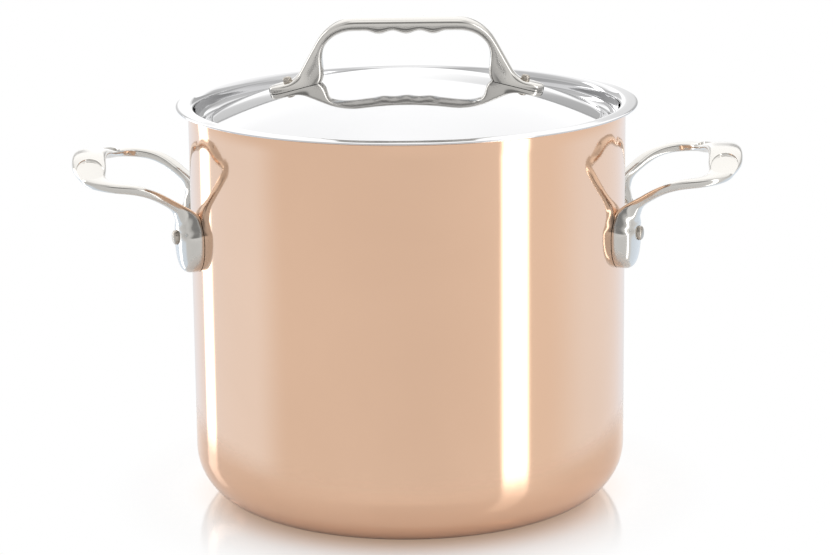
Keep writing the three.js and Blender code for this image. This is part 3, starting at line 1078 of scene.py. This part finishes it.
@dataclass
class LidPressing:
    """The steel lid: a flange that overhangs the wall, a gutter inside it and a shallow dome."""

    pot: PotBody
    sheet: float = 0.9
    side_clearance: float = 0.8
    seat_gap: float = 0.3
    overhang: float = 6.9
    bend_radius: float = 4.0
    flange_fall: float = math.radians(5.0)
    gutter_depth: float = 9.1
    gutter_radius: float = 4.5
    shoulder_radius: float = 3.0
    shoulder_slope: float = math.radians(65.0)
    shoulder_rise: float = 4.6
    dome_slope: float = math.radians(22.4)
    dome_steps: int = 40
    sides: int = 192

    def __post_init__(self) -> None:
        """Works out the bend on the wall's edge, and the dome from the gutter that it rises from."""
        pot = self.pot
        self.gutter_floor = pot.height - self.gutter_depth
        plug = pot.bore / 2.0 - self.side_clearance - self.sheet
        middle = plug + self.bend_radius
        seat = self.bend_radius - self.sheet - self.seat_gap
        self.bend_base = pot.height - math.sqrt(seat ** 2 - (middle - pot.bore / 2.0) ** 2)
        start = middle + self.bend_radius * math.sin(self.flange_fall)
        rim = pot.outer_radius + self.overhang - self.sheet / 2.0
        self.flange_length = (rim - start) / math.cos(self.flange_fall)
        shoulder_drop = self.shoulder_radius * (math.cos(self.dome_slope) - math.cos(self.shoulder_slope))
        gutter_drop = self.gutter_radius * (1.0 - math.cos(self.shoulder_slope))
        self.slope_length = (self.shoulder_rise - shoulder_drop - gutter_drop) / math.sin(self.shoulder_slope)
        edge = plug - self.gutter_radius * (1.0 + math.sin(self.shoulder_slope))
        edge -= self.slope_length * math.cos(self.shoulder_slope)
        edge -= self.shoulder_radius * (math.sin(self.shoulder_slope) - math.sin(self.dome_slope))
        self.dome_radius = edge / math.sin(self.dome_slope)
        self.dome_top = self.gutter_floor + self.shoulder_rise + edge * math.tan(self.dome_slope / 2.0)

    def walk(self) -> list[SheetPoint]:
        """Walks along the upper face from the dome's top to the edge of the flange.

        Returns:
            The points of the walk.
        """
        return walk_sheet(self.dome_top, [
            Move(radius=self.dome_radius, turn=-self.dome_slope, steps=self.dome_steps),
            Move(radius=self.shoulder_radius, turn=self.dome_slope - self.shoulder_slope, steps=8),
            Move(length=self.slope_length),
            Move(radius=self.gutter_radius, turn=self.shoulder_slope + QUARTER, steps=18),
            Move(length=self.bend_base - self.gutter_floor - self.gutter_radius, steps=2),
            Move(radius=self.bend_radius, turn=-QUARTER - self.flange_fall, steps=14),
            Move(length=self.flange_length, steps=4),
        ])

    def dome_frame(self, side: float, distance: float, height: float) -> Matrix:
        """Gives a frame on the dome along X, whose Z leads out of the dome.

        Args:
            side: One for +X and minus one for -X.
            distance: Distance from the axis.
            height: Height above the dome.

        Returns:
            The frame, in millimetres.
        """
        tilt = side * math.asin(distance / self.dome_radius)
        centre = Matrix.Translation((0.0, 0.0, self.dome_top - self.dome_radius))
        outward = Matrix.Translation((0.0, 0.0, self.dome_radius + height))
        return centre @ Matrix.Rotation(tilt, 4, "Y") @ outward

    def build(self) -> None:
        """Turns the pressing and dresses it."""
        piece = Bench("lid_pressing").lathe(sheet_section(self.walk(), 0.0, self.sheet), self.sides)
        smooth(piece)
        LID_STEEL.dress(piece)
        settle(piece, "lid", "lid")


@dataclass
class LidHandle:
    """The cast arch on the lid, with finger waves under its grip, and its two rivets."""

    lid: LidPressing
    rivet_pitch: float = 130.6
    grip_height: float = 28.6
    grip_thickness: float = 7.6
    grip_width: float = 17.0
    wave_pitch: float = 15.0
    wave_count: int = 3
    wave_depth: float = 1.9
    corner_radius: float = 22.0
    leg_slope: float = math.radians(61.0)
    leg_width: float = 12.0
    leg_thickness: float = 5.4
    gusset: float = 11.5
    foot_bend: float = 15.0
    foot_thickness: float = 4.0
    foot_width: float = 17.0
    foot_end: float = 11.5
    foot_power: float = 2.8
    leg_power: float = 2.6
    tip_steps: int = 7
    tip_bluntness: float = 0.35
    wave_steps: int = 8
    easing_passes: int = 6
    fit_gap: float = 0.2
    rivet_seat: float = 0.1
    cutter_depth: float = 34.5
    cutter_sides: int = 128
    sides: int = 16
    crease: float = 40.0
    rivet: Rivet = field(default_factory=lambda: Rivet(5.0, 3.0, 3.6, 7.0, 1.1, sides=32))

    def stations(self) -> list[Station]:
        """Walks from the end of a foot up the leg to the middle of the grip.

        Returns:
            The stations.
        """
        slope = math.asin(self.rivet_pitch / 2.0 / self.lid.dome_radius)
        bend = self.leg_slope - slope
        half_leg, half_grip = self.leg_thickness / 2.0, self.grip_thickness / 2.0
        foot = BarSize(self.foot_width, self.foot_thickness / 2.0, self.gusset, self.foot_power)
        leg_foot = BarSize(self.leg_width, half_leg, self.gusset, self.leg_power)
        leg = BarSize(self.leg_width, half_leg, half_leg, self.leg_power)
        grip = BarSize(self.grip_width, half_grip, half_grip, self.leg_power)
        tip = self.tip(foot, slope)

        def route(leg_length: float) -> list[Station]:
            """Walks the foot, the leg and the corner.

            Args:
                leg_length: Length of the leg's straight run.

            Returns:
                The stations up to the start of the grip.
            """
            return walk_bar(tip[-1], [
                Leg(self.rivet.head_diameter / 2.0, steps=3),
                Leg(self.foot_bend * bend, rise=bend, steps=7, size=leg_foot),
                Leg(leg_length, steps=6, size=leg),
                Leg(self.corner_radius * self.leg_slope, rise=-self.leg_slope, steps=8, size=grip),
            ])

        missing = self.lid.dome_top + self.grip_height - route(0.0)[-1].at.z
        stations = route(missing / math.sin(self.leg_slope))
        last = stations[-1]
        wave_end = self.wave_pitch * self.wave_count / 2.0
        steps = self.wave_steps * self.wave_count
        for step in range(steps + 1):
            x = wave_end * (1.0 - step / steps)
            wave = self.wave_depth * (1.0 + math.cos(TURN * x / self.wave_pitch)) / 2.0
            size = replace(last.size, under=last.size.under + wave)
            stations.append(Station(Vector((x, 0.0, last.at.z)), last.heading, last.climb, size))
        return tip[:-1] + stations

    def tip(self, foot: BarSize, slope: float) -> list[Station]:
        """Rounds the outer end of a foot.

        Args:
            foot: The foot's size behind its rounded end.
            slope: The dome's slope under the rivet.

        Returns:
            The stations of the end, from its outermost point inward.
        """
        outward = bar_direction(0.0, -slope)
        line = self.fit_gap + self.foot_thickness / 2.0
        rivet = self.lid.dome_frame(1.0, self.rivet_pitch / 2.0, line).translation
        end = rivet + outward * self.foot_end
        stations = []
        for step in range(1, self.tip_steps + 1):
            angle = QUARTER * step / self.tip_steps
            share = math.sin(angle)
            at = end - outward * ((1.0 - math.cos(angle)) * self.foot_width / 2.0)
            size = replace(foot, width=foot.width * share, top=foot.top * share ** self.tip_bluntness)
            stations.append(Station(at, math.pi, slope, size))
        return stations

    def rivet_frame(self, side: float) -> Matrix:
        """Gives the frame of a rivet's seat on the foot.

        Args:
            side: One for +X and minus one for -X.

        Returns:
            The frame, in metres.
        """
        seat = self.fit_gap + self.foot_thickness - self.rivet_seat
        place = self.lid.dome_frame(side, self.rivet_pitch / 2.0, seat)
        place.translation *= MM
        return place

    def build(self) -> None:
        """Models the arch, cuts it to the dome and sets its rivets."""
        arch = Bench("lid_arch").sweep(self.stations(), self.sides)
        modify(arch, "MIRROR", use_axis=(True, False, False), merge_threshold=0.01 * MM)
        modify(arch, "SUBSURF", levels=2, render_levels=2)
        gusset_top = (self.lid.dome_top + self.gusset) * MM
        ease(arch, lambda point: point.z < gusset_top, self.easing_passes)
        dome = self.lid.walk()[:self.lid.dome_steps + 1]
        below = dome[-1].z - self.cutter_depth
        block = [(0.0, below), (dome[-1].r, below)]
        block += [point.through(-self.fit_gap) for point in reversed(dome)]
        carve(arch, Bench("dome_cutter").lathe(block, self.cutter_sides))
        smooth(arch, self.crease)
        CAST_STEEL.dress(arch)
        settle(arch, "lid", "lid_handle")
        grip = self.foot_thickness - self.rivet_seat + self.fit_gap + self.lid.sheet + self.fit_gap
        rivet = replace(self.rivet, grip=grip)
        for place, side in (("right", 1.0), ("left", -1.0)):
            piece = rivet.build(f"arch_rivet_{place}", self.rivet_frame(side))
            RIVET_STEEL.dress(piece)
            settle(piece, "lid", f"lid_rivet_{place}")


# The studio


def past(graph: Graph, value: Socket, limit: float, soft: float) -> Socket:
    """Gives one past an angle in degrees and zero before it, with a soft change."""
    return graph.ramp(value, math.radians(limit - soft), math.radians(limit + soft))


@dataclass(frozen=True)
class TallLamp:
    """A tall soft lamp in the studio, by its compass angles and heights in degrees."""

    left: float
    right: float
    low: float
    high: float
    glow: float
    soft: float = 2.0

    def mask(self, graph: Graph, azimuth: Socket, rise: Socket) -> Socket:
        """Gives one inside the lamp and zero outside.

        Args:
            graph: The world's graph.
            azimuth: Compass angle.
            rise: Angle above the horizon.

        Returns:
            The lamp's mask.
        """
        mask = None
        for value, low, high in ((azimuth, self.left, self.right), (rise, self.low, self.high)):
            enter = past(graph, value, low, self.soft)
            leave = graph.math("SUBTRACT", 1.0, past(graph, value, high, self.soft))
            inside = graph.math("MULTIPLY", enter, leave)
            mask = inside if mask is None else graph.math("MULTIPLY", mask, inside)
        return mask


def grey(level: float) -> Colour:
    """Gives a grey colour of a level."""
    return level, level, level


@dataclass(frozen=True)
class LightRing:
    """A ring of studio light from one height upward, with its grey or colour for each compass angle."""

    height: float
    soft: float
    colours: dict[float, float | Colour]

    def add_to(self, graph: Graph, share: Socket) -> Socket:
        """Spreads the ring's colours round the compass.

        Args:
            graph: The world's graph.
            share: Compass share, zero and one behind the pot and a half towards the camera.

        Returns:
            The ring's colour.
        """
        node = graph.add("ShaderNodeValToRGB", {0: share})
        ramp = node.color_ramp
        ramp.interpolation = "EASE"
        for index, (angle, colour) in enumerate(sorted(self.colours.items())):
            place = (angle + 180.0) / 360.0
            if index < 2:
                stop = ramp.elements[index]
                stop.position = place
            else:
                stop = ramp.elements.new(place)
            stop.color = (*(grey(colour) if isinstance(colour, float) else colour), 1.0)
        return node.outputs[0]


@dataclass
class Studio:
    """A white floor, soft light from all round and the camera.

    Compass angles are in degrees, zero towards the camera and positive to its right.
    """

    lens: float = 124.35
    sensor: float = 36.0
    eye: tuple[float, float, float] = (0.0045, -1.5862, 0.5031)
    pitch: float = 0.2351
    roll: float = -0.0097
    floor_size: float = 14.0
    floor_tone: float = 0.88
    floor_roughness: float = 0.1
    floor_shine: float = 0.6
    shine_radii: tuple[float, float] = (0.1, 0.18)
    floor_glow: float = 0.36
    # Copper colour and radii of the floor's glow near the pot: painted bounce light from the copper.
    painted_bounce_colour: Colour = (1.0, 0.7, 0.5)
    painted_bounce_radii: tuple[float, float] = (0.095, 0.132)
    table_radius: float = 0.228
    table_fade: float = 0.035
    rings: tuple[LightRing, ...] = (
        LightRing(-90.0, 0.0, {
            -180.0: 0.83, -150.0: SIDE_LIGHT, -90.0: SIDE_LIGHT, -66.0: 0.81, 0.0: 0.79,
            75.0: 0.87, 110.0: SIDE_LIGHT, 150.0: SIDE_LIGHT, 180.0: 0.83,
        }),
        LightRing(-6.0, 6.0, {
            -180.0: 1.28, -150.0: 1.05, -120.0: 0.85, -90.0: 0.8, -60.0: 0.8, -30.0: 0.8, 0.0: 0.82,
            25.0: 0.82, 45.0: 0.85, 75.0: 0.88, 120.0: 0.85, 160.0: 0.96, 180.0: 1.28,
        }),
        LightRing(5.0, 1.5, {
            -180.0: 1.45, -174.0: 1.45, -171.0: 0.76, -150.0: 0.72, -90.0: 0.75, -30.0: 0.85, 0.0: 0.88,
            30.0: 0.88, 60.0: 0.9, 110.0: 0.75, 150.0: 0.53, 171.0: 0.55,
            174.0: 0.97, 180.0: 1.3,
        }),
        LightRing(14.6, 0.3, {
            -180.0: 1.4, -174.0: 1.35, -172.0: 0.4, -150.0: 0.4, -90.0: 0.75, -30.0: 0.85, 0.0: 0.88,
            30.0: 0.88, 60.0: 0.9, 110.0: 0.75, 150.0: 0.42, 172.0: 0.42, 174.0: 1.0, 180.0: 1.35,
        }),
        LightRing(15.6, 0.4, {
            -180.0: 1.4, -160.0: 1.4, -140.0: 0.75, -90.0: 0.66, -60.0: 0.78, -38.0: 0.82, 0.0: 0.88,
            35.0: 0.88, 60.0: 1.05, 100.0: 0.75, 140.0: 0.72, 160.0: 1.4, 180.0: 1.4,
        }),
        LightRing(27.0, 4.0, {
            -180.0: 1.42, -150.0: 1.3, -125.0: 0.85, -90.0: 0.72, -60.0: 0.78, -38.0: 0.64, -18.0: 0.28,
            12.0: 0.28, 35.0: 0.6, 60.0: 1.05, 90.0: 0.95, 140.0: 1.3, 180.0: 1.42,
        }),
        LightRing(62.0, 6.0, {
            -180.0: 1.0, -90.0: 0.65, -30.0: 0.66, 30.0: 0.76, 90.0: 0.8, 180.0: 1.0,
        }),
        LightRing(76.0, 5.0, {-180.0: 1.35, 180.0: 1.35}),
    )
    lamps: tuple[TallLamp, ...] = (
        TallLamp(left=50.0, right=65.0, low=-60.0, high=50.0, glow=3.2),
        TallLamp(left=-139.0, right=-127.0, low=-40.0, high=30.0, glow=3.2),
    )

    def build(self) -> None:
        """Sets the camera, the floor, the world and the view."""
        self.camera()
        self.floor()
        self.world()
        bpy.context.scene.view_settings.view_transform = "Standard"

    def camera(self) -> None:
        """Sets the camera at its fitted place and angle."""
        data = bpy.data.cameras.new("camera")
        data.lens = self.lens
        data.sensor_width = self.sensor
        camera = bpy.data.objects.new("camera", data)
        bpy.context.scene.collection.objects.link(camera)
        tilt = Matrix.Rotation(QUARTER - self.pitch, 4, "X")
        camera.matrix_world = Matrix.Translation(self.eye) @ tilt @ Matrix.Rotation(self.roll, 4, "Z")
        bpy.context.scene.camera = camera

    def floor(self) -> None:
        """Lays a white floor that keeps the pot's shadow, and that mirrors see only round the pot; near the
        pot its glow is tinted copper as painted bounce light.
        """
        bpy.ops.object.select_all(action="DESELECT")
        bpy.ops.mesh.primitive_plane_add(size=self.floor_size)
        floor = bpy.context.active_object
        floor.name = "floor"
        material = bpy.data.materials.new("white_floor")
        material.use_nodes = True
        graph = Graph(material.node_tree)
        path = graph.add("ShaderNodeLightPath")
        place = graph.add("ShaderNodeTexCoord").outputs["Object"]
        x, y, _ = graph.add("ShaderNodeSeparateXYZ", {0: place}).outputs
        reach = graph.distance(x, y)
        away = graph.ramp(reach, *self.shine_radii)
        polish = graph.math("MULTIPLY_ADD", away, -self.floor_shine, self.floor_shine)
        polish = graph.math("MULTIPLY", polish, path.outputs["Is Camera Ray"])
        shine = graph.add(
            "ShaderNodeBsdfPrincipled",
            {
                "Base Color": (*grey(self.floor_tone), 1.0),
                "Metallic": polish,
                "Roughness": self.floor_roughness,
            },
        )
        # Painted bounce light: the floor's glow is tinted copper near the pot and turns white further out.
        painted_bounce_tint = graph.blend(graph.ramp(reach, *self.painted_bounce_radii), self.painted_bounce_colour, grey(1.0))
        glow = graph.add("ShaderNodeEmission", {"Color": painted_bounce_tint, "Strength": 1.0})
        bounce = graph.math("MULTIPLY_ADD", away, 1.0 - self.floor_glow, self.floor_glow)
        share = graph.math("MULTIPLY", path.outputs["Is Camera Ray"], bounce)
        white = graph.add("ShaderNodeMixShader", {0: share, 1: shine.outputs[0], 2: glow.outputs[0]})
        beyond = graph.ramp(reach, self.table_radius - self.table_fade, self.table_radius + self.table_fade)
        clear = graph.add("ShaderNodeBsdfTransparent")
        unseen = graph.math("MULTIPLY", beyond, path.outputs["Is Glossy Ray"])
        mix = graph.add("ShaderNodeMixShader", {0: unseen, 1: white.outputs[0], 2: clear.outputs[0]})
        graph.add("ShaderNodeOutputMaterial", {"Surface": mix.outputs[0]})
        floor.data.materials.append(material)

    def world(self) -> None:
        """Surrounds the pot with white light, which its mirrors see as rings and two tall lamps."""
        world = bpy.data.worlds.new("studio")
        bpy.context.scene.world = world
        world.use_nodes = True
        graph = Graph(world.node_tree)
        path = graph.add("ShaderNodeLightPath")
        way = graph.add("ShaderNodeTexCoord").outputs["Generated"]
        x, y, z = graph.add("ShaderNodeSeparateXYZ", {0: way}).outputs
        azimuth = graph.math("ARCTAN2", x, graph.math("MULTIPLY", y, -1.0))
        round_share = graph.math("MULTIPLY_ADD", azimuth, 1.0 / TURN, 0.5)
        rise = graph.math("ARCSINE", z)
        around = self.rings[0].add_to(graph, round_share)
        for ring in self.rings[1:]:
            lifted = past(graph, rise, ring.height, ring.soft)
            around = graph.blend(lifted, around, ring.add_to(graph, round_share))
        for lamp in self.lamps:
            around = graph.blend(lamp.mask(graph, azimuth, rise), around, grey(lamp.glow))
        plain = graph.math("SUBTRACT", 1.0, path.outputs["Is Glossy Ray"])
        colour = graph.blend(plain, around, grey(1.0))
        light = graph.add("ShaderNodeBackground", {"Color": colour, "Strength": 1.0})
        graph.add("ShaderNodeOutputWorld", {"Surface": light.outputs[0]})


def main() -> None:
    """Builds the pot, the lid and the studio in order."""
    logging.basicConfig(level=logging.INFO, format="%(name)s: %(message)s")
    pot = PotBody()
    pot.build()
    SideHandles(pot).build()
    lid = LidPressing(pot)
    lid.build()
    LidHandle(lid).build()
    Studio().build()


if __name__ == "__main__":
    main()
